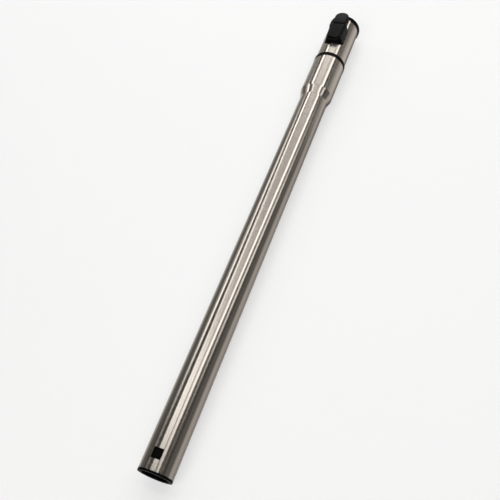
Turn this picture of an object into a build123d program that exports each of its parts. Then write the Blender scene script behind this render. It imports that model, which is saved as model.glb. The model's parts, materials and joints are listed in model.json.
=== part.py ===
"""Telescopic vacuum wand, pushed together: steel tubes with a coupling latch at the handle end.

The wand lies along +Y. The origin is on its axis, at the steel's edge at the tool end. The latch
and the catch hole face +Z, and the notched rack runs along the underside. Millimetres throughout.
"""
from build123d import *
from math import atan2, sqrt, tan
import os

# Outer tube, one piece of steel with a widened collar
steel_wall = 0.8
tube_radius = 17.5
neck_start = 467.5
neck_length = 11.5
neck_bend = 5.0
collar_step = 3.1
collar_length = 70.2

# Square catch hole near the tool end
catch_size = 10.2
catch_middle = 15.5
catch_corner = 0.6

# Liner in the tool end
lip_length = 2.3
liner_wall = 2.65
liner_length = 34.0
liner_edge = 0.8
pocket_floor = 1.0

# Clearances
push_fit = 0.05
running_gap = 0.2
free_gap = 0.3

# Guide bush in the collar
flange_step = 0.2
flange_length = 5.8
flange_edge = 0.5
bush_setback = 2.0
bush_wall = 1.4
bush_band = 7.0
rib_width = 2.0
rib_count = 6
wiper_width = 3.0
wiper_depth = 1.3
wiper_setback = 4.0

# Inner tube with the groove that carries the rack and the key
telescope_gap = 0.95
groove_width = 8.0
groove_depth = 2.35

# Rack and detent
notch_pitch = 30.0
notch_steps = 12
rack_thickness = 1.5
notch_floor = 0.3
roller_radius = 1.8
roller_length = 6.6
roller_setback = 30.0
rack_tail = 16.0
rivet_inset = 5.0
rivet_radius = 1.2
rivet_head_radius = 2.2
rivet_head = 0.8
leaf_thickness = 0.4
leaf_width = 5.0
leaf_length = 30.0
leaf_overhang = 3.0
leaf_pad_length = 8.0
leaf_rivet_radius = 1.0

# Guide ring and seal on the inner end of the inner tube
end_stop_gap = 0.5
guide_length = 24.0
guide_lip = 1.5
guide_slots = 4
guide_slot_width = 2.5
guide_slot_length = 9.0
seal_width = 3.0
seal_depth = 0.45
seal_setback = 6.0

# Coupling socket at the handle end
rest_gap = 0.5
spigot_gap = 0.1
core_wall = 1.15
sleeve_length = 68.1
end_ring_step = 1.2
end_ring_length = 4.4
end_ring_edge = 0.6
entry_flare = 0.4
entry_chamfer = 1.0
socket_depth = 45.7
stop_web = 6.4
stop_step = 0.35
socket_seal_thickness = 1.5
socket_seal_width = 2.0
tube_rivet_radius = 1.5
tube_rivet_head_radius = 2.6
tube_rivet_head = 0.9
tube_rivet_tail = 0.8

# Latch pin and its lugs, with heights above the sleeve
pivot_setback = 28.1
pivot_rise = 2.7
pin_radius = 1.25
pin_cover = 0.8
lug_thickness = 2.2
lug_half_length = 3.0
lug_crown = 2.2

# Latch lever: pad, arm and tooth
bearing_gap = 0.08
lever_boss_radius = 2.4
lever_half_width = 4.3
tooth_setback = 6.6
tooth_length = 6.0
tooth_bite = 1.6
tooth_ramp = 3.0
arm_thickness = 2.0
arm_headroom = 4.7
pad_gap = 0.35
pad_front_gap = 1.9
pad_crease = 0.6
pad_fall = 1.3
pad_round = 1.3
pad_wall = 1.4
pad_roof = 1.8
pad_skirt = 3.0

# Latch housing: open front part and roofed cap, with heights above the sleeve
housing_front = 27.8
housing_back = 4.4
housing_front_half = 13.0
housing_back_half = 12.9
housing_corner = 6.0
housing_crown = 2.0
housing_rise = 5.4
housing_lean = 1.9
rim_front_half = 9.4
rim_back_half = 10.8
foot_bevel = 3.2
rim_bevel = 0.3
housing_wall = 1.1
cap_front = 3.3
cap_half = 9.0
cap_rise = 8.0
cap_fall = 2.0
cap_bow = 0.7
cap_round = 2.2
cap_wall = 1.2
pin_boss_radius = 2.6

# Leaf under the pad
latch_leaf_thickness = 0.35
latch_leaf_width = 5.0
latch_leaf_run = 16.0

# Outer tube and bush, worked out from the sizes above
tube_bore = tube_radius - steel_wall
collar_radius = tube_radius + collar_step
collar_bore = collar_radius - steel_wall
neck_end = neck_start + neck_length
neck_shift = steel_wall * tan(atan2(collar_step, neck_length) / 2)
collar_end = neck_end + collar_length
liner_radius = tube_bore - push_fit
liner_bore = liner_radius - liner_wall
mouth = collar_end + flange_length
flange_radius = collar_radius + flange_step
bush_start = neck_end + bush_setback
inner_radius = tube_bore - telescope_gap
bush_bore = inner_radius + running_gap
bush_skin = bush_bore + bush_wall
bush_radius = collar_bore - push_fit
wiper_end = mouth - wiper_setback
wiper_start = wiper_end - wiper_width

# Inner tube, rack and detent
inner_bore = inner_radius - steel_wall
groove_floor = inner_radius - groove_depth
groove_roof = groove_floor - steel_wall
rack_face = groove_floor + rack_thickness
key_face = rack_face + free_gap
key_root = bush_bore + bush_wall / 2
stroke = notch_pitch * notch_steps
roller_station = bush_start + roller_setback
roller_height = groove_floor + notch_floor + free_gap + roller_radius
leaf_face = roller_height + roller_radius + push_fit
leaf_end = roller_station + leaf_overhang
leaf_start = leaf_end - leaf_length
leaf_rivet = leaf_start + leaf_pad_length / 2
rack_start = roller_station - stroke - rack_tail
rack_end = roller_station + rack_tail
rack_rivets_at = (rack_start + rivet_inset, rack_end - rivet_inset)
notches = [roller_station - notch_pitch * step for step in range(notch_steps + 1)]
guide_top = bush_start - end_stop_gap - stroke
guide_start = guide_top - guide_length
guide_radius = tube_bore - running_gap
guide_bore = inner_radius + push_fit
inner_start = guide_start + guide_lip
seal_end = guide_top - seal_setback
seal_start = seal_end - seal_width

# Coupling socket
socket_bore = tube_radius + spigot_gap
entry_bore = socket_bore + entry_flare
core_radius = socket_bore + core_wall
sleeve_bore = core_radius + push_fit
sleeve_radius = sleeve_bore + steel_wall
sleeve_start = mouth + rest_gap
sleeve_end = sleeve_start + sleeve_length
end_ring_radius = sleeve_radius + end_ring_step
socket_mouth = sleeve_end + end_ring_length
socket_stop = socket_mouth - socket_depth
stop_bore = inner_bore - stop_step
inner_end = socket_stop - stop_web
seal_outer = (stop_bore + socket_bore + socket_seal_width) / 2
seal_inner = seal_outer - socket_seal_width
tube_rivet = (sleeve_start + inner_end) / 2
tube_rivet_face = sqrt(core_radius**2 - tube_rivet_head_radius**2) - push_fit
tube_rivet_seat = tube_rivet_face - tube_rivet_head

# Latch
pivot = socket_mouth - pivot_setback
pivot_height = sleeve_radius + pivot_rise
tooth_end = socket_mouth - tooth_setback
tooth_start = tooth_end - tooth_length
tooth_tip = tube_radius - tooth_bite
lug_root = 2 * socket_bore - core_radius
lug_inner = lever_half_width + free_gap
lug_outer = lug_inner + lug_thickness
window_half = lug_outer + free_gap
window_start = pivot - lug_half_length - free_gap
window_end = tooth_end + 1.0
housing_foot = sqrt(sleeve_radius**2 - housing_back_half**2) - free_gap
housing_rim = sleeve_radius + housing_rise
front_edge = pivot - housing_front
housing_end = pivot + housing_back
cap_start = pivot + cap_front
cap_middle = (cap_start + socket_mouth) / 2
cap_front_height = sleeve_radius + cap_rise
cap_end_height = cap_front_height - cap_fall
cap_middle_height = cap_front_height - cap_fall / 2 + cap_bow
cavity_half = cap_half - 1.5 * cap_wall
boss_end = rim_back_half - housing_wall / 2
pin_half_length = boss_end - pin_cover
sky = cap_front_height + cap_wall
pad_end = cap_start - pad_crease
pad_inset = housing_wall + pad_gap
pad_front_inset = housing_wall + pad_front_gap
pad_front = front_edge + housing_lean + pad_front_inset
pad_back_height = cap_front_height
pad_front_height = pad_back_height - pad_fall
pad_ceiling = pad_front_height - pad_roof
arm_tip_height = cap_end_height - arm_headroom
leaf_bed = sleeve_radius + push_fit + latch_leaf_thickness / 2
leaf_tip = pad_ceiling - push_fit - latch_leaf_thickness / 2
hook_station = window_start + running_gap + latch_leaf_thickness / 2


def across(station):
    """Plane square to the wand at a station, with its x along +X and its y along +Z."""
    return Plane(origin=(0, station, 0), x_dir=(1, 0, 0), z_dir=(0, -1, 0))


def outline(*points):
    """Fill a closed outline in the sketch that is open."""
    with BuildLine() as edge:
        Polyline(*points, close=True)
    make_face(edge.edges())


def turn(points, mode=Mode.ADD):
    """Turn a closed outline of radius and station about the wand's axis."""
    with BuildSketch(Plane.XY) as section:
        outline(*points)
    revolve(section.sketch, axis=Axis.Y, mode=mode)


# Outer tube with its neck, collar and catch hole
with BuildPart() as outer_tube:
    with BuildSketch(Plane.XY) as wall_section:
        outline(
            (tube_radius, 0),
            (tube_radius, neck_start),
            (collar_radius, neck_end),
            (collar_radius, collar_end),
            (collar_bore, collar_end),
            (collar_bore, neck_end + neck_shift),
            (tube_bore, neck_start + neck_shift),
            (tube_bore, 0),
        )
        bends = wall_section.vertices().filter_by(lambda v: neck_start - 1 < v.Y < neck_end + 1)
        fillet(bends, radius=neck_bend)
    revolve(axis=Axis.Y)
    with BuildSketch(Plane.XY):
        with Locations((0, catch_middle)):
            RectangleRounded(catch_size, catch_size, catch_corner)
    extrude(amount=2 * tube_radius, mode=Mode.SUBTRACT)

# Liner with a rounded lip over the steel's edge and a closed pocket behind the catch hole
with BuildPart() as tool_end_liner:
    with BuildSketch(Plane.XY) as liner_section:
        outline(
            (tube_radius, 0),
            (liner_radius, 0),
            (liner_radius, liner_length),
            (liner_bore, liner_length),
            (liner_bore, -lip_length),
            (tube_radius, -lip_length),
        )
        lip_corners = liner_section.vertices().group_by(Axis.Y)[0].sort_by(Axis.X)
        fillet(lip_corners[0], radius=liner_edge)
        fillet(lip_corners[-1], radius=0.95 * lip_length)
    revolve(axis=Axis.Y)
    with BuildSketch(Plane.XY.offset(liner_bore + pocket_floor)):
        with Locations((0, catch_middle)):
            Rectangle(catch_size + 2 * free_gap, catch_size + 2 * free_gap)
    extrude(amount=tube_radius, mode=Mode.SUBTRACT)

# Guide bush: flange ring at the mouth, bands, ribs, key, roller window and spring pad
with BuildPart() as guide_bush:
    turn(
        [
            (bush_bore, bush_start),
            (bush_radius, bush_start),
            (bush_radius, bush_start + bush_band),
            (bush_skin, bush_start + bush_band),
            (bush_skin, collar_end - bush_band),
            (bush_radius, collar_end - bush_band),
            (bush_radius, collar_end),
            (flange_radius, collar_end),
            (flange_radius, mouth),
            (bush_bore, mouth),
        ]
    )
    rims = guide_bush.edges().filter_by(GeomType.CIRCLE).group_by(Axis.Y)[-1]
    fillet(rims.sort_by(SortBy.RADIUS)[-1], radius=flange_edge)
    with BuildSketch(across(collar_end - bush_band)):
        with PolarLocations((key_root + bush_radius) / 2, rib_count, start_angle=90 + 180 / rib_count):
            Rectangle(bush_radius - key_root, rib_width)
    extrude(amount=collar_end - bush_start - 2 * bush_band)
    with BuildSketch(across(wiper_start - bush_wall)):
        with Locations((0, -(key_face + key_root) / 2)):
            Rectangle(groove_width - 2 * free_gap, key_root - key_face)
    extrude(amount=wiper_start - bush_wall - bush_start)
    with BuildSketch(Plane.XY.offset(-leaf_face)):
        with Locations((0, leaf_rivet)):
            Rectangle(leaf_width, leaf_pad_length)
    extrude(amount=leaf_face - key_root)
    with BuildSketch(Plane.XY.offset(-leaf_face)):
        with Locations((0, leaf_end + free_gap)):
            Rectangle(
                leaf_width + 2 * free_gap,
                leaf_length + 2 * free_gap,
                align=(Align.CENTER, Align.MAX),
            )
    extrude(amount=-bush_radius, mode=Mode.SUBTRACT)
    turn(
        [
            (key_face, wiper_start),
            (bush_bore + wiper_depth, wiper_start),
            (bush_bore + wiper_depth, wiper_end),
            (key_face, wiper_end),
        ],
        mode=Mode.SUBTRACT,
    )
    with BuildSketch(Plane.XY):
        with Locations((0, roller_station)):
            Rectangle(roller_length + 2 * running_gap, 2 * (roller_radius + running_gap))
    extrude(amount=-bush_radius, mode=Mode.SUBTRACT)
    with Locations((0, leaf_rivet, -leaf_face)):
        Cylinder(leaf_rivet_radius, 2 * bush_wall, mode=Mode.SUBTRACT)

# Wiper ring in the bush, just inside the mouth
with BuildPart() as bush_wiper:
    turn(
        [
            (inner_radius + running_gap / 2, wiper_start + push_fit),
            (bush_bore + wiper_depth - push_fit, wiper_start + push_fit),
            (bush_bore + wiper_depth - push_fit, wiper_end - push_fit),
            (inner_radius + running_gap / 2, wiper_end - push_fit),
        ]
    )

# Leaf that holds the detent roller up, flat on its pad
with BuildPart() as detent_leaf:
    with BuildSketch(Plane.XY.offset(-leaf_face)):
        with Locations((0, (leaf_start + leaf_end) / 2)):
            RectangleRounded(leaf_width, leaf_length, leaf_width / 4)
        with Locations((0, leaf_rivet)):
            Circle(leaf_rivet_radius, mode=Mode.SUBTRACT)
    extrude(amount=-leaf_thickness)

# Rivet that fixes the leaf to the bush
with BuildPart() as leaf_rivet_pin:
    with BuildSketch(Plane.XY.offset(-leaf_face - leaf_thickness)):
        with Locations((0, leaf_rivet)):
            Circle(leaf_rivet_radius - push_fit)
    extrude(amount=leaf_thickness + bush_wall)
    with BuildSketch(Plane.XY.offset(-leaf_face - leaf_thickness)):
        with Locations((0, leaf_rivet)):
            Circle(2 * leaf_rivet_radius)
    extrude(amount=-leaf_thickness)

# Detent roller in the bush's window
with BuildPart() as detent_roller:
    with BuildSketch(Plane.YZ):
        with Locations((roller_station, -roller_height)):
            Circle(roller_radius)
    extrude(amount=roller_length / 2, both=True)
    chamfer(detent_roller.edges().filter_by(GeomType.CIRCLE), length=leaf_thickness)

# Inner tube, drawn with a flat-bottomed groove along its underside
with BuildPart() as inner_tube:
    with BuildSketch(across(inner_end)):
        Circle(inner_radius)
        with Locations((0, -groove_floor)):
            Rectangle(
                groove_width, 2 * groove_depth, align=(Align.CENTER, Align.MAX), mode=Mode.SUBTRACT
            )
        with BuildSketch(across(inner_end), mode=Mode.SUBTRACT):
            Circle(inner_bore)
            with Locations((0, -groove_roof)):
                Rectangle(
                    groove_width + 2 * steel_wall,
                    2 * groove_depth,
                    align=(Align.CENTER, Align.MAX),
                    mode=Mode.SUBTRACT,
                )
    extrude(amount=inner_end - inner_start)
    with Locations(*[(0, station, -groove_floor) for station in rack_rivets_at]):
        Cylinder(rivet_radius, 4 * steel_wall, mode=Mode.SUBTRACT)
    with BuildSketch(Plane.YZ):
        with Locations((tube_rivet, 0)):
            Circle(tube_rivet_radius)
    extrude(amount=inner_radius, both=True, mode=Mode.SUBTRACT)

# Rack strip in the groove, one round notch for each stop
with BuildPart() as notch_rack:
    with BuildSketch(Plane.YZ):
        with Locations(((rack_start + rack_end) / 2, -(groove_floor + rack_face) / 2)):
            Rectangle(rack_end - rack_start, rack_thickness)
        with Locations(*[(station, -roller_height) for station in notches]):
            Circle(roller_radius + free_gap, mode=Mode.SUBTRACT)
    extrude(amount=groove_width / 2 - free_gap, both=True)
    with Locations(*[(0, station, -groove_floor) for station in rack_rivets_at]):
        Cylinder(rivet_radius, 4 * rack_thickness, mode=Mode.SUBTRACT)

# Rivets of the rack, flush under the strip and headed inside the tube
with BuildPart() as rack_rivets:
    for station in rack_rivets_at:
        with Locations((0, station, -rack_face)):
            Cylinder(
                rivet_radius - push_fit,
                rack_face - groove_roof,
                align=(Align.CENTER, Align.CENTER, Align.MIN),
            )
        with Locations((0, station, -groove_roof)):
            Cylinder(rivet_head_radius, rivet_head, align=(Align.CENTER, Align.CENTER, Align.MIN))

# Guide ring on the inner end of the inner tube
with BuildPart() as end_guide:
    turn(
        [
            (inner_bore, guide_start),
            (guide_radius, guide_start),
            (guide_radius, guide_top),
            (guide_bore, guide_top),
            (guide_bore, inner_start),
            (inner_bore, inner_start),
        ]
    )
    turn(
        [
            (guide_radius - seal_depth, seal_start),
            (collar_radius, seal_start),
            (collar_radius, seal_end),
            (guide_radius - seal_depth, seal_end),
        ],
        mode=Mode.SUBTRACT,
    )
    with BuildSketch(across(guide_start + guide_slot_length)):
        with PolarLocations((inner_bore + guide_radius) / 2, guide_slots, start_angle=45):
            Rectangle(guide_radius - inner_bore + guide_lip, guide_slot_width)
    extrude(amount=guide_slot_length, mode=Mode.SUBTRACT)

# Felt ring in the guide's groove
with BuildPart() as end_seal:
    turn(
        [
            (guide_radius - seal_depth + push_fit, seal_start + push_fit),
            (guide_radius + running_gap / 2, seal_start + push_fit),
            (guide_radius + running_gap / 2, seal_end - push_fit),
            (guide_radius - seal_depth + push_fit, seal_end - push_fit),
        ]
    )

# Steel sleeve round the socket, cut away under the latch
with BuildPart() as socket_sleeve:
    turn(
        [
            (sleeve_bore, sleeve_start),
            (sleeve_radius, sleeve_start),
            (sleeve_radius, sleeve_end),
            (sleeve_bore, sleeve_end),
        ]
    )
    with BuildSketch(Plane.XY):
        with Locations((0, (window_start + window_end) / 2)):
            Rectangle(2 * window_half, window_end - window_start)
    extrude(amount=2 * sleeve_radius, mode=Mode.SUBTRACT)

# Socket core: end ring, flared mouth, socket, stop with seal groove, grip on the inner tube, lugs
with BuildPart() as socket_core:
    turn(
        [
            (inner_radius + push_fit, sleeve_start),
            (core_radius, sleeve_start),
            (core_radius, sleeve_end),
            (end_ring_radius, sleeve_end),
            (end_ring_radius, socket_mouth),
            (entry_bore + entry_chamfer, socket_mouth),
            (entry_bore, socket_mouth - entry_chamfer),
            (socket_bore, tooth_start - free_gap),
            (socket_bore, socket_stop),
            (stop_bore, socket_stop),
            (stop_bore, inner_end + push_fit),
            (inner_radius + push_fit, inner_end + push_fit),
        ]
    )
    rims = socket_core.edges().filter_by(GeomType.CIRCLE).group_by(Axis.Y)[-1]
    fillet(rims.sort_by(SortBy.RADIUS)[-1], radius=end_ring_edge)
    turn(
        [
            (seal_inner, socket_stop - socket_seal_thickness),
            (seal_outer, socket_stop - socket_seal_thickness),
            (seal_outer, socket_stop),
            (seal_inner, socket_stop),
        ],
        mode=Mode.SUBTRACT,
    )
    with BuildSketch(Plane.YZ.offset(lug_inner)) as lug:
        with Locations((pivot, lug_root)):
            Rectangle(
                2 * lug_half_length,
                pivot_height + lug_crown - lug_root,
                align=(Align.CENTER, Align.MIN),
            )
        fillet(lug.vertices().group_by(Axis.Z)[-1], radius=lug_half_length / 2)
        with Locations((pivot, pivot_height)):
            Circle(pin_radius + push_fit, mode=Mode.SUBTRACT)
    extrude(amount=lug_thickness)
    mirror(about=Plane.YZ)
    turn(
        [
            (0, socket_stop),
            (socket_bore, socket_stop),
            (socket_bore, tooth_start - free_gap),
            (0, tooth_start - free_gap),
        ],
        mode=Mode.SUBTRACT,
    )
    with BuildSketch(Plane.XY):
        with Locations((0, (tooth_start + window_end) / 2)):
            Rectangle(2 * (lever_half_width + free_gap), window_end - tooth_start + 2 * free_gap)
    extrude(amount=2 * core_radius, mode=Mode.SUBTRACT)
    with BuildSketch(Plane.YZ):
        with Locations((tube_rivet, 0)):
            Circle(tube_rivet_radius)
    extrude(amount=core_radius, both=True, mode=Mode.SUBTRACT)
    for side in (1, -1):
        with BuildSketch(Plane.YZ.offset(side * tube_rivet_seat)):
            with Locations((tube_rivet, 0)):
                Circle(tube_rivet_head_radius + push_fit)
        extrude(amount=side * 2 * tube_rivet_head, mode=Mode.SUBTRACT)

# Seal ring sunk in the socket's stop
with BuildPart() as socket_seal:
    turn(
        [
            (seal_inner + push_fit, socket_stop - socket_seal_thickness),
            (seal_outer - push_fit, socket_stop - socket_seal_thickness),
            (seal_outer - push_fit, socket_stop - push_fit),
            (seal_inner + push_fit, socket_stop - push_fit),
        ]
    )

# Rivets through the core's grip and the inner tube, under the sleeve
with BuildPart() as tube_rivets:
    for side in (1, -1):
        with BuildSketch(Plane.YZ.offset(side * (inner_bore - tube_rivet_tail))):
            with Locations((tube_rivet, 0)):
                Circle(tube_rivet_radius - push_fit)
        extrude(amount=side * (tube_rivet_seat - inner_bore + tube_rivet_tail))
        with BuildSketch(Plane.YZ.offset(side * tube_rivet_seat)):
            with Locations((tube_rivet, 0)):
                Circle(tube_rivet_head_radius)
        extrude(amount=side * tube_rivet_head)


def front_plan(height, inset, front_inset, back, bevelled):
    """Plan of the latch's front part at a height, drawn inside its outer faces by the insets."""
    share = (height - housing_foot) / (housing_rim - housing_foot)
    front = front_edge + housing_lean * share + front_inset
    front_half = housing_front_half + (rim_front_half - housing_front_half) * share - inset
    back_half = housing_back_half + (rim_back_half - housing_back_half) * share - inset
    with BuildSketch(Plane.XY.offset(height)) as plan:
        with BuildLine():
            ThreePointArc(
                (-front_half, front + housing_crown), (0, front), (front_half, front + housing_crown)
            )
            if bevelled:
                bevel = foot_bevel + (rim_bevel - foot_bevel) * share
                rear = [(back_half, back - bevel), (back_half - bevel, back)]
            else:
                rear = [(back_half, back)]
            Polyline(
                (front_half, front + housing_crown),
                *rear,
                *[(-x, y) for x, y in reversed(rear)],
                (-front_half, front + housing_crown),
            )
        make_face()
        corners = plan.vertices().filter_by(lambda v: v.Y < front + housing_crown + 1)
        fillet(corners, radius=housing_corner - inset)
    return plan.sketch


def front_block(low, high, inset, front_inset, back, bevelled=False, mode=Mode.ADD):
    """Loft of the latch's front part between two heights."""
    plans = [front_plan(height, inset, front_inset, back, bevelled) for height in (low, high)]
    loft(plans, mode=mode)


def side_block(points, half_width, mode=Mode.ADD):
    """Block with a side outline of station and height, centred on the wand's middle plane."""
    with BuildSketch(Plane.YZ) as side:
        outline(*points)
    extrude(side.sketch, amount=half_width, both=True, mode=mode)


# Latch housing: open front part round the pad, roofed cap over the arm, sockets for the pin
with BuildPart() as latch_housing:
    front_block(housing_foot, housing_rim, 0, 0, housing_end, bevelled=True)
    with BuildSketch(Plane.XY.offset(housing_foot)):
        with Locations((0, socket_mouth - cap_half)):
            Circle(cap_half)
            Rectangle(
                2 * cap_half, socket_mouth - cap_half - cap_start, align=(Align.CENTER, Align.MAX)
            )
    extrude(amount=sky - housing_foot)
    with BuildSketch(Plane.YZ):
        with BuildLine():
            ThreePointArc(
                (cap_start, cap_front_height),
                (cap_middle, cap_middle_height),
                (socket_mouth, cap_end_height),
            )
            Polyline(
                (socket_mouth, cap_end_height),
                (socket_mouth, 2 * sky),
                (cap_start, 2 * sky),
                (cap_start, cap_front_height),
            )
        make_face()
    extrude(amount=2 * cap_half, both=True, mode=Mode.SUBTRACT)
    fillet(latch_housing.faces().sort_by(Axis.Z)[-1].edges(), radius=cap_round)
    with Locations((0, sleeve_end / 2)):
        Cylinder(sleeve_radius + push_fit, sleeve_end, rotation=(90, 0, 0), mode=Mode.SUBTRACT)
    with Locations((0, socket_mouth)):
        Cylinder(
            end_ring_radius + push_fit,
            2 * (end_ring_length + push_fit),
            rotation=(90, 0, 0),
            mode=Mode.SUBTRACT,
        )
    front_block(
        sleeve_radius / 2,
        housing_rim + push_fit,
        housing_wall,
        housing_wall,
        cap_start,
        bevelled=True,
        mode=Mode.SUBTRACT,
    )
    side_block(
        [
            (pivot, 0),
            (pivot, cap_front_height - cap_wall),
            (cap_start, cap_front_height - cap_wall),
            (cap_middle, cap_middle_height - cap_wall),
            (window_end, cap_end_height - cap_wall / 2),
            (window_end, 0),
        ],
        cavity_half,
        mode=Mode.SUBTRACT,
    )
    with BuildSketch(Plane.YZ.offset(lug_outer + free_gap)):
        with Locations((pivot, pivot_height)):
            Circle(pin_boss_radius)
    extrude(amount=boss_end - lug_outer - free_gap)
    mirror(about=Plane.YZ)
    with Locations((0, pivot, pivot_height)):
        Cylinder(
            pin_radius + push_fit,
            2 * (pin_half_length + push_fit),
            rotation=(0, 90, 0),
            mode=Mode.SUBTRACT,
        )

# Latch lever: pad shell, web, boss on the pin, arm and tooth
web_start = pivot - 2 * lever_boss_radius
with BuildPart() as latch_lever:
    front_block(pad_front_height - pad_skirt, sky, pad_inset, pad_front_inset, pad_end)
    side_block(
        [
            (pad_front, pad_front_height),
            (pad_end, pad_back_height),
            (pad_end, 2 * sky),
            (front_edge, 2 * sky),
            (front_edge, pad_front_height),
        ],
        2 * housing_back_half,
        mode=Mode.SUBTRACT,
    )
    fillet(latch_lever.faces().sort_by(Axis.Z)[-1].edges(), radius=pad_round)
    front_block(
        0,
        pad_ceiling,
        pad_inset + pad_wall,
        pad_front_inset + pad_wall,
        pad_end + pad_wall,
        mode=Mode.SUBTRACT,
    )
    for side in (1, -1):
        with BuildSketch(Plane.YZ.offset(side * lug_inner)):
            with Locations((pivot, pivot_height)):
                Circle(lug_half_length + free_gap)
        extrude(amount=side * housing_back_half, mode=Mode.SUBTRACT)
    side_block(
        [
            (web_start, pad_ceiling + pad_roof / 2),
            (web_start, pivot_height),
            (pad_end, pivot_height),
            (pad_end, pad_ceiling + pad_roof / 2),
        ],
        lever_half_width,
    )
    side_block(
        [
            (pivot, pivot_height + arm_thickness / 2),
            (tooth_start, arm_tip_height),
            (tooth_end, arm_tip_height),
            (tooth_end, tooth_tip + tooth_ramp),
            (tooth_end - tooth_ramp, tooth_tip),
            (tooth_start, tooth_tip),
            (tooth_start, arm_tip_height - arm_thickness),
            (pivot, pivot_height - arm_thickness / 2),
        ],
        lever_half_width,
    )
    with Locations((0, pivot, pivot_height)):
        Cylinder(lever_boss_radius, 2 * lever_half_width, rotation=(0, 90, 0))
        Cylinder(
            pin_radius + bearing_gap, 4 * lever_half_width, rotation=(0, 90, 0), mode=Mode.SUBTRACT
        )

# Latch pin
with BuildPart() as latch_pin:
    with Locations((0, pivot, pivot_height)):
        Cylinder(pin_radius, 2 * pin_half_length, rotation=(0, 90, 0))
    chamfer(latch_pin.edges().filter_by(GeomType.CIRCLE), length=pin_radius / 5)

# Leaf under the pad, hooked over the edge of the sleeve's window
with BuildPart() as latch_leaf:
    with BuildSketch(Plane.YZ):
        with BuildLine():
            FilletPolyline(
                (hook_station, sleeve_bore),
                (hook_station, leaf_bed),
                (hook_station - latch_leaf_run, leaf_bed),
                (hook_station - latch_leaf_run / 2, leaf_tip),
                radius=latch_leaf_thickness,
            )
        trace(line_width=latch_leaf_thickness)
    extrude(amount=latch_leaf_width / 2, both=True)

pieces = {
    "outer_tube": outer_tube,
    "tool_end_liner": tool_end_liner,
    "guide_bush": guide_bush,
    "bush_wiper": bush_wiper,
    "detent_leaf": detent_leaf,
    "leaf_rivet": leaf_rivet_pin,
    "detent_roller": detent_roller,
    "inner_tube": inner_tube,
    "notch_rack": notch_rack,
    "rack_rivets": rack_rivets,
    "end_guide": end_guide,
    "end_seal": end_seal,
    "socket_sleeve": socket_sleeve,
    "socket_core": socket_core,
    "socket_seal": socket_seal,
    "tube_rivets": tube_rivets,
    "latch_housing": latch_housing,
    "latch_lever": latch_lever,
    "latch_pin": latch_pin,
    "latch_leaf": latch_leaf,
}
os.makedirs("parts", exist_ok=True)
for name, piece in pieces.items():
    piece.part.label = name
    export_step(piece.part, f"parts/{name}.step")
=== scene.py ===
"""Telescopic vacuum wand: finishes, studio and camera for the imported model."""

import json
from math import atan, pi, radians, tan

import bpy
from mathutils import Matrix, Vector


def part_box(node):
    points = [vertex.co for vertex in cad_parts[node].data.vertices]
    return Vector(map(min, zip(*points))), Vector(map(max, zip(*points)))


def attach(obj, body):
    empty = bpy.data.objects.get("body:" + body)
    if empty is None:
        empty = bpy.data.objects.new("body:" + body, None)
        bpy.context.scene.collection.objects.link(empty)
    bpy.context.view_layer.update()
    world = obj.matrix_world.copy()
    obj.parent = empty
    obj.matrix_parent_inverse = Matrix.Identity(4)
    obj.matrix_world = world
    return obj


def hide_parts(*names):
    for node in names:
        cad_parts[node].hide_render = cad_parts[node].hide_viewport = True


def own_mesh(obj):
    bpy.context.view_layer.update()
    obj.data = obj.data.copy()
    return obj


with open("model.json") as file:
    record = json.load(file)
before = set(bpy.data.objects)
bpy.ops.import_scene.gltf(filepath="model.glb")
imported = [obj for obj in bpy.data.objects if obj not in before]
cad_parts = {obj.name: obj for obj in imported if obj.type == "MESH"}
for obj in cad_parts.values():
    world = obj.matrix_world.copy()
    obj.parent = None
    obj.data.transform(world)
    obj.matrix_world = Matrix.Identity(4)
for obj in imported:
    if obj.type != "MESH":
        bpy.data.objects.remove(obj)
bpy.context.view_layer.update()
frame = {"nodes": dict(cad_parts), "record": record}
nodes = frame["nodes"]

# Camera, from the photograph's perspective: place and aim in metres, the direction that is up in
# the picture, the lens in millimetres and the picture's shift in picture widths
camera_place = Vector((0.2295, -0.0784, 0.5827))
camera_aim = Vector((-0.0004, 0.2530, 0.0))
camera_up = Vector((-0.2049, 0.8138, 0.5437))
camera_lens = 46.3
camera_shift = (-0.0006, 0.0003)

# The photograph shows the neck of the outer tube nearer to the handle end than the solids do.
# Stations along the wand in metres, old and new, with even stretches between them
neck_stations = ((0.3, 0.3), (0.466, 0.4824), (0.48, 0.4964), (0.509, 0.509))
neck_pieces = ("outer_tube", "guide_bush", "detent_leaf", "leaf_rivet")

# Leaf springs that give way at a limit: the detent's leans down about its rivet, the latch's sinks
# under the pad. Each has its joint, the direction in which it shortens, the place that stays and
# the share that is left.
springs = {
    "detent_leaf": ("detent_travel", (0.0, 0.3, 0.954), (0.0, 0.4999, -0.01745), 0.685),
    "latch_leaf": ("latch_press", (0.0, 0.0, 1.0), (0.0, 0.589, 0.01965), 0.7),
}

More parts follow.
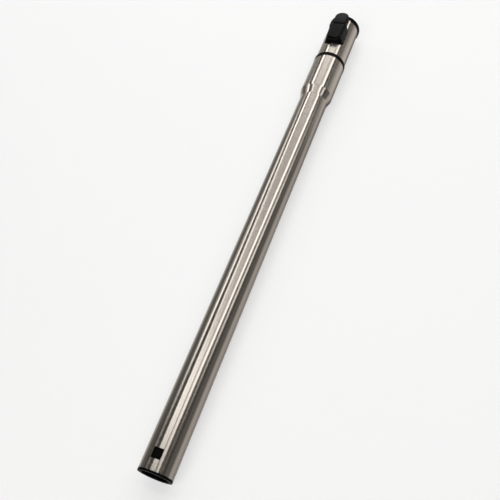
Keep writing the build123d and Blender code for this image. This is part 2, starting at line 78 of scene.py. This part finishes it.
# Studio: long softboxes fan out over the wand. Each has its angle from straight up towards +X at
# the near and at the far gauge, the angle that it spreads over, where it starts and ends along the
# wand, and its brightness. Angles are in degrees and lengths in metres.
softbox_distance = 1.5
near_gauge = 0.6
far_gauge = 2.1
softboxes = {
    "left_low": (-58.2, -94.2, 15.0, 0.25, 1.8, 0.5),
    "left_start": (-51.2, -45.2, 11.0, 0.56, 1.05, 2.9),
    "left_edge": (-37.2, -82.2, 11.0, 1.05, 1.7, 2.0),
    "left_near": (-11.2, -48.2, 9.5, 0.8, 1.4, 2.1),
    "left_far": (-11.2, -48.2, 9.5, 1.4, 2.05, 3.7),
    "left_end": (-40.2, -40.2, 11.0, 2.07, 2.8, 4.0),
    "overhead": (-1.4, -1.4, 41.5, 0.28, 3.2, 0.44),
    "overhead_near": (-1.7, -1.7, 41.0, 0.46, 1.1, 0.28),
    "overhead_end": (-7.7, -7.7, 30.0, 0.32, 0.54, 2.9),
    "overhead_far": (-11.2, -11.2, 46.0, 2.25, 3.2, 1.5),
    "between": (16.8, 23.8, 9.0, 1.4, 3.2, 0.3),
    "bright": (25.1, 36.8, 12.0, 0.24, 2.4, 2.3),
    "bright_far": (36.8, 41.3, 9.0, 1.2, 2.4, 1.0),
    "right": (47.3, 69.8, 12.0, 0.6, 1.5, 1.6),
}

# Wide lamps beyond both ends of the wand: place, size and brightness; they face fill_aim
fills = {
    "fill_near": ((0.2, -1.3, 1.8), (2.5, 1.6), 2.6),
    "fill_far": ((0.0, 4.3, 1.8), (2.5, 1.6), 2.6),
}
fill_aim = (0.0, 0.3, 0.0)

# Graded glowing cards beside the wand, a painted reflection of the floor and its shade that only
# its
# polished surfaces show: on both sides, from the near edge over a flat stretch to the raised far
# edge
card_near = 0.018
card_bend = 0.35
card_far = 0.6
card_lift = 0.001
card_height = 0.2
card_reach = (-1.0, 2.6)

# Tones of the cards, each as a reach and the values at its ends: a dark edge of painted shade,
# where the floor beside the wand lies in shadow, that darkens along the wand, then pale, then dark.
# Beyond a slanted line the dark is lighter, though less so on the left, and it darkens again as the
# card rises.
card_tint = (1.0, 0.97, 0.94)
edge_tones = ((0.3, 0.5), (0.3, 0.1))
rise = (0.02, 0.045)
pale_tones = ((0.45, 0.57), (0.6, 0.84))
fall = (0.05, 0.14)
slant = 0.75
dark_tones = ((0.4, 0.56), (0.16, 0.72))
left_limit = 0.32
raised_tones = ((0.35, 0.45), (0.6, 0.27))

# Room and floor: the floor turns into a plain white backdrop away from the wand
room_colour = (0.085, 0.08, 0.072)
backdrop_white = (1.0, 1.0, 1.0, 1.0)
seen_share = 0.5
mirrored_share = 0.1
backdrop_reach = (0.9, 2.4)
horizon_fade = 0.3
floor_colour = (0.945, 0.945, 0.945)
floor_size = 40.0

# Finishes: the darkest plastic, the turn of the steel's highlights from the tangent round the wand
# to along it, and the stretch of a noise that holds nearly all its values
plastic_black = (0.0015, 0.0015, 0.0015)
quarter_turn = 0.25
noise_reach = (0.3, 0.7)


def shade(colour, factor):
    """Darker or lighter tone of a colour."""
    return tuple(channel * factor for channel in colour)


def joined(tree, socket, value):
    """Link a socket to another one or set it to a number."""
    if isinstance(value, bpy.types.NodeSocket):
        tree.links.new(value, socket)
    else:
        socket.default_value = value


class Finish:
    """A procedural material under construction, with its principled shader."""

    def __init__(self, name, colour, roughness, metallic=0.0):
        self.material = bpy.data.materials.new(name)
        self.material.use_nodes = True
        self.tree = self.material.node_tree
        self.shader = self.tree.nodes["Principled BSDF"]
        self.shader.inputs["Base Color"].default_value = (*colour, 1)
        self.shader.inputs["Roughness"].default_value = roughness
        self.shader.inputs["Metallic"].default_value = metallic

    def node(self, kind, **inputs):
        """New node with its named inputs linked to a socket or set to a value."""
        node = self.tree.nodes.new(kind)
        for name, value in inputs.items():
            self.feed(node.inputs[name.replace("_", " ")], value)
        return node

    def feed(self, socket, value):
        """Link a socket to another one or set it to a number, in this material."""
        joined(self.tree, socket, value)

    def noise(self, stretch, detail=2.0):
        """Noise in the part's own coordinates; stretch is features per metre along x, y and z."""
        place = self.node("ShaderNodeTexCoord").outputs["Object"]
        mapping = self.node("ShaderNodeMapping", Vector=place, Scale=stretch)
        texture = self.node(
            "ShaderNodeTexNoise", Vector=mapping.outputs["Vector"], Scale=1.0, Detail=detail
        )
        return texture.outputs["Fac"]

    def ramp(self, source, reach, values):
        """Values at both ends of a reach, and evenly between them."""
        ranged = self.node("ShaderNodeMapRange", Value=source)
        for name, value in zip(("From Min", "From Max", "To Min", "To Max"), (*reach, *values)):
            self.feed(ranged.inputs[name], value)
        return ranged.outputs["Result"]

    def spread(self, source, low, high):
        """The middle of a noise spread over the range from low to high."""
        return self.ramp(source, noise_reach, (low, high))

    def combined(self, operation, *sources):
        """Result of a math operation on sockets and numbers."""
        node = self.tree.nodes.new("ShaderNodeMath")
        node.operation = operation
        for socket, source in zip(node.inputs, sources):
            self.feed(socket, source)
        return node.outputs["Value"]

    def tint(self, source, dark, light):
        """Base colour between two tones, following a noise."""
        mix = self.tree.nodes.new("ShaderNodeMix")
        mix.data_type = "RGBA"
        self.feed(mix.inputs["Factor"], self.spread(source, 0.0, 1.0))
        mix.inputs["A"].default_value = (*dark, 1)
        mix.inputs["B"].default_value = (*light, 1)
        self.feed(self.shader.inputs["Base Color"], mix.outputs["Result"])

    def relief(self, source, height, strength=1.0):
        """Bump of a height in metres, following a noise."""
        bump = self.node("ShaderNodeBump", Height=source, Distance=height, Strength=strength)
        self.feed(self.shader.inputs["Normal"], bump.outputs["Normal"])


def turned_steel(name, colour, roughness, anisotropy):
    """Steel brushed round the wand, so that its highlights stretch along it."""
    finish = Finish(name, colour, roughness, metallic=1.0)
    fine = finish.noise((25, 2200, 25))
    finish.tint(fine, shade(colour, 0.96), shade(colour, 1.04))
    spread = finish.spread(fine, roughness - 0.02, roughness + 0.02)
    finish.feed(finish.shader.inputs["Roughness"], spread)
    finish.shader.inputs["Anisotropic"].default_value = anisotropy
    finish.shader.inputs["Anisotropic Rotation"].default_value = quarter_turn
    tangent = finish.node("ShaderNodeTangent")
    tangent.direction_type = "RADIAL"
    tangent.axis = "Y"
    finish.feed(finish.shader.inputs["Tangent"], tangent.outputs["Tangent"])
    return finish.material


def moulded_plastic(name, colour, roughness, grain, grain_height, gloss=0.1):
    """Moulded plastic with an eroded grain; grain is features per metre."""
    finish = Finish(name, colour, roughness)
    fine = finish.noise((grain, grain, grain), detail=3.0)
    broad = finish.noise((90, 90, 90), detail=3.0)
    finish.tint(broad, shade(colour, 0.75), shade(colour, 1.25))
    spread = finish.spread(fine, roughness - 0.06, roughness + 0.08)
    finish.feed(finish.shader.inputs["Roughness"], spread)
    finish.relief(fine, grain_height, 0.6)
    finish.shader.inputs["Specular IOR Level"].default_value = gloss
    return finish.material


def plain_metal(name, dark, light, roughness):
    """Small bright parts: fine random scratches and a little uneven tarnish."""
    finish = Finish(name, light, roughness, metallic=1.0)
    scratches = finish.noise((2500, 300, 2500))
    finish.tint(finish.noise((700, 700, 700)), dark, light)
    spread = finish.spread(scratches, roughness - 0.08, roughness + 0.1)
    finish.feed(finish.shader.inputs["Roughness"], spread)
    finish.relief(scratches, 0.000003, 0.3)
    return finish.material


def felt(name, dark, light):
    """Dense felt: short fibres as a fuzzy bump, with sheen."""
    finish = Finish(name, light, 0.95)
    fibres = finish.noise((3000, 3000, 3000), detail=6.0)
    finish.tint(fibres, dark, light)
    finish.relief(fibres, 0.00012)
    finish.shader.inputs["Sheen Weight"].default_value = 0.4
    return finish.material


def rubber(name, dark, light):
    """Soft rubber: smooth and dull with a faint bloom."""
    finish = Finish(name, light, 0.65)
    finish.tint(finish.noise((220, 220, 220), detail=4.0), dark, light)
    finish.relief(finish.noise((2200, 2200, 2200)), 0.00001)
    return finish.material


finishes = {
    "outer_steel": turned_steel("brushed_steel", (0.52, 0.475, 0.425), 0.2, 0.9),
    "inner_steel": turned_steel("drawn_steel", (0.58, 0.56, 0.53), 0.18, 0.4),
    "black_plastic": moulded_plastic("black_trim", plastic_black, 0.4, 2600, 0.00002, 0.05),
    "latch_plastic": moulded_plastic("latch_black", plastic_black, 0.33, 2200, 0.00002, 0.06),
    "lever_plastic": moulded_plastic("lever_black", (0.002, 0.002, 0.002), 0.3, 2200, 0.00002),
    "rack_plastic": moulded_plastic("rack_grey", (0.12, 0.12, 0.125), 0.45, 2600, 0.00002, 0.4),
    "guide_plastic": moulded_plastic("guide_dark", (0.03, 0.03, 0.032), 0.4, 2600, 0.00002, 0.4),
    "felt": felt("felt_ring", (0.04, 0.04, 0.04), (0.09, 0.09, 0.09)),
    "seal_rubber": rubber("seal_black", (0.018, 0.018, 0.018), (0.03, 0.03, 0.03)),
    "spring_steel": plain_metal("spring_steel", (0.38, 0.38, 0.38), (0.5, 0.49, 0.48), 0.3),
    "roller_steel": plain_metal("ground_steel", (0.6, 0.6, 0.6), (0.7, 0.7, 0.7), 0.18),
    "rivet_metal": plain_metal("rivet_metal", (0.5, 0.5, 0.5), (0.62, 0.62, 0.62), 0.35),
}
slots = {entry["node"]: entry["material_slot"] for entry in frame["record"]["subparts"]}
for name, slot in slots.items():
    materials = nodes[name].data.materials
    materials.clear()
    materials.append(finishes[slot])


def moved(station):
    """New station of a point along the wand."""
    for (low, new_low), (high, new_high) in zip(neck_stations, neck_stations[1:]):
        if low < station < high:
            return new_low + (new_high - new_low) * (station - low) / (high - low)
    return station


def add_stand_in(name, body):
    """Stand-in for a solid, with the neck at its new stations; a spring gets a mesh of its own."""
    piece = bpy.data.objects.new(f"{name}_fitted", nodes[name].data.copy())
    for vertex in piece.data.vertices:
        vertex.co.y = moved(vertex.co.y)
    bpy.context.scene.collection.objects.link(piece)
    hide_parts(name)
    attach(piece, body)
    if name in springs:
        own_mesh(piece)


def background_rays(tree, seen, mirrored):
    """Share of the plain backdrop: seen for camera rays, mirrored for glossy and clear ones."""
    path = tree.nodes.new("ShaderNodeLightPath")
    total = 0.0
    for name, share in (
        ("Is Camera Ray", seen),
        ("Is Glossy Ray", mirrored),
        ("Is Transmission Ray", mirrored),
    ):
        add = tree.nodes.new("ShaderNodeMath")
        add.operation = "MULTIPLY_ADD"
        add.use_clamp = True
        for socket, value in zip(add.inputs, (path.outputs[name], share, total)):
            joined(tree, socket, value)
        total = add.outputs["Value"]
    return total


def mixed(tree, share, first, second):
    """Mix of two shaders."""
    mix = tree.nodes.new("ShaderNodeMixShader")
    for socket, source in zip(mix.inputs, (share, first, second)):
        tree.links.new(source, socket)
    return mix.outputs["Shader"]


def add_floor():
    """Pale floor that touches the wand where it lies: the lip's edge and the ring at the collar."""
    tool_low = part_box("outer_tube")[0].y, -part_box("tool_end_liner")[1].z
    collar_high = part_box("guide_bush")
    ring = collar_high[1].y, collar_high[0].z
    slope = (ring[1] - tool_low[1]) / (ring[0] - tool_low[0])
    bpy.ops.mesh.primitive_plane_add(size=floor_size)
    floor = bpy.context.object
    floor.name = "floor"
    floor.location = (0, 0, tool_low[1])
    floor.rotation_euler.x = slope
    paper = Finish("pale_floor", floor_colour, 0.9)
    paper.shader.inputs["Specular IOR Level"].default_value = 0.0
    glow = paper.node("ShaderNodeEmission", Color=backdrop_white, Strength=1.0)
    place = paper.node("ShaderNodeTexCoord").outputs["Object"]
    reach = paper.node("ShaderNodeVectorMath")
    reach.operation = "LENGTH"
    paper.feed(reach.inputs["Vector"], place)
    shares = [
        paper.ramp(reach.outputs["Value"], backdrop_reach, (near_share, 1.0))
        for near_share in (seen_share, mirrored_share)
    ]
    share = background_rays(paper.tree, *shares)
    surface = mixed(paper.tree, share, paper.shader.outputs["BSDF"], glow.outputs["Emission"])
    output = paper.tree.nodes["Material Output"]
    paper.tree.links.new(surface, output.inputs["Surface"])
    floor.data.materials.append(paper.material)
    return tool_low[1]


def add_cards(floor_height):
    """Glowing cards on both sides, a painted reflection that only mirroring surfaces see; they
    light and shade nothing.
    """
    rows = ((card_near, card_lift), (card_bend, card_lift), (card_far, card_height))
    places = [
        (side * x, y, floor_height + z) for side in (-1, 1) for x, z in rows for y in card_reach
    ]
    mesh = bpy.data.meshes.new("cards")
    mesh.from_pydata(places, [], [(row, row + 1, row + 3, row + 2) for row in (0, 2, 6, 8)])
    card = Finish("painted_reflection_card", (0, 0, 0), 1.0)
    place = card.node("ShaderNodeTexCoord").outputs["Object"]
    place = card.node("ShaderNodeSeparateXYZ", Vector=place).outputs
    away = card.combined("ABSOLUTE", place["X"])
    beyond = card.combined("MULTIPLY_ADD", away, -slant, place["Y"])
    lightest = card.ramp(place["X"], (-card_near, card_near), (left_limit, dark_tones[1][1]))
    dark = card.ramp(beyond, dark_tones[0], (dark_tones[1][0], lightest))
    dark = card.combined("MINIMUM", dark, card.ramp(away, *raised_tones))
    pale = card.ramp(place["Y"], *pale_tones)
    near = card.ramp(away, rise, (card.ramp(place["Y"], *edge_tones), pale))
    tone = card.combined("MINIMUM", near, card.ramp(away, fall, (pale, dark)))
    # The glow is the painted reflection: its tone holds the painted shade of the floor beside the
    # wand
    glow = card.node("ShaderNodeEmission", Color=(*card_tint, 1), Strength=tone)
    card.feed(card.tree.nodes["Material Output"].inputs["Surface"], glow.outputs["Emission"])
    mesh.materials.append(card.material)
    cards = bpy.data.objects.new("cards", mesh)
    bpy.context.scene.collection.objects.link(cards)
    cards.visible_camera = False
    cards.visible_diffuse = False
    cards.visible_shadow = False


def add_room():
    """Dark room, pale near the horizon where the floor ends."""
    world = bpy.data.worlds.new("room")
    world.use_nodes = True
    tree = world.node_tree
    room = tree.nodes["Background"]
    room.inputs["Color"].default_value = (*room_colour, 1)
    pale = tree.nodes.new("ShaderNodeBackground")
    pale.inputs["Color"].default_value = backdrop_white
    place = tree.nodes.new("ShaderNodeTexCoord")
    split = tree.nodes.new("ShaderNodeSeparateXYZ")
    tree.links.new(place.outputs["Generated"], split.inputs["Vector"])
    fade = tree.nodes.new("ShaderNodeMapRange")
    fade.interpolation_type = "SMOOTHSTEP"
    tree.links.new(split.outputs["Z"], fade.inputs["Value"])
    fade.inputs["From Max"].default_value = horizon_fade
    fade.inputs["To Min"].default_value = 1.0
    fade.inputs["To Max"].default_value = 0.0
    share = background_rays(tree, fade.outputs["Result"], fade.outputs["Result"])
    surface = mixed(tree, share, room.outputs["Background"], pale.outputs["Background"])
    tree.links.new(surface, tree.nodes["World Output"].inputs["Surface"])
    bpy.context.scene.world = world


def add_softbox(name, near, far, spread, start, end, brightness):
    """Long area lamp over the wand, turned so that it passes both gauges at its angles."""
    middle = (start + end) / 2
    along = (middle - near_gauge) / (far_gauge - near_gauge)
    angle = near + (far - near) * along
    drift = softbox_distance * (tan(radians(far - angle)) - tan(radians(near - angle)))
    drift /= far_gauge - near_gauge
    light = bpy.data.lights.new(name, "AREA")
    light.shape = "RECTANGLE"
    light.size = 2 * softbox_distance * tan(radians(spread / 2))
    light.size_y = end - start
    light.energy = brightness * pi * light.size * light.size_y
    lamp = bpy.data.objects.new(name, light)
    turned = Matrix.Rotation(radians(angle), 4, "Y") @ Matrix.Translation((0, 0, softbox_distance))
    lean = Matrix.Rotation(-atan(drift), 4, "Z")
    lamp.matrix_world = Matrix.Translation((0, middle, 0)) @ turned @ lean
    lamp.visible_camera = False
    bpy.context.scene.collection.objects.link(lamp)


def add_fill(name, place, size, brightness):
    """Wide lamp facing the wand from outside what the tube mirrors to the camera."""
    light = bpy.data.lights.new(name, "AREA")
    light.shape = "RECTANGLE"
    light.size, light.size_y = size
    light.energy = brightness * pi * light.size * light.size_y
    lamp = bpy.data.objects.new(name, light)
    lamp.location = place
    lamp.rotation_euler = (Vector(place) - Vector(fill_aim)).to_track_quat("Z", "Y").to_euler()
    lamp.visible_camera = False
    bpy.context.scene.collection.objects.link(lamp)


def add_camera():
    """Camera at the photograph's angle."""
    look = (camera_aim - camera_place).normalized()
    right = look.cross(camera_up).normalized()
    up = right.cross(look)
    camera = bpy.data.objects.new("camera", bpy.data.cameras.new("camera"))
    camera.data.lens = camera_lens
    camera.data.shift_x, camera.data.shift_y = camera_shift
    turned = Matrix((right, up, -look)).transposed().to_4x4()
    camera.matrix_world = Matrix.Translation(camera_place) @ turned
    bpy.context.scene.collection.objects.link(camera)
    bpy.context.scene.camera = camera


for name in neck_pieces:
    add_stand_in(name, "outer")
add_stand_in("latch_leaf", "inner")
add_cards(add_floor())
add_room()
for name, placing in softboxes.items():
    add_softbox(name, *placing)
for name, placing in fills.items():
    add_fill(name, *placing)
add_camera()
bpy.context.scene.view_settings.view_transform = "Standard"
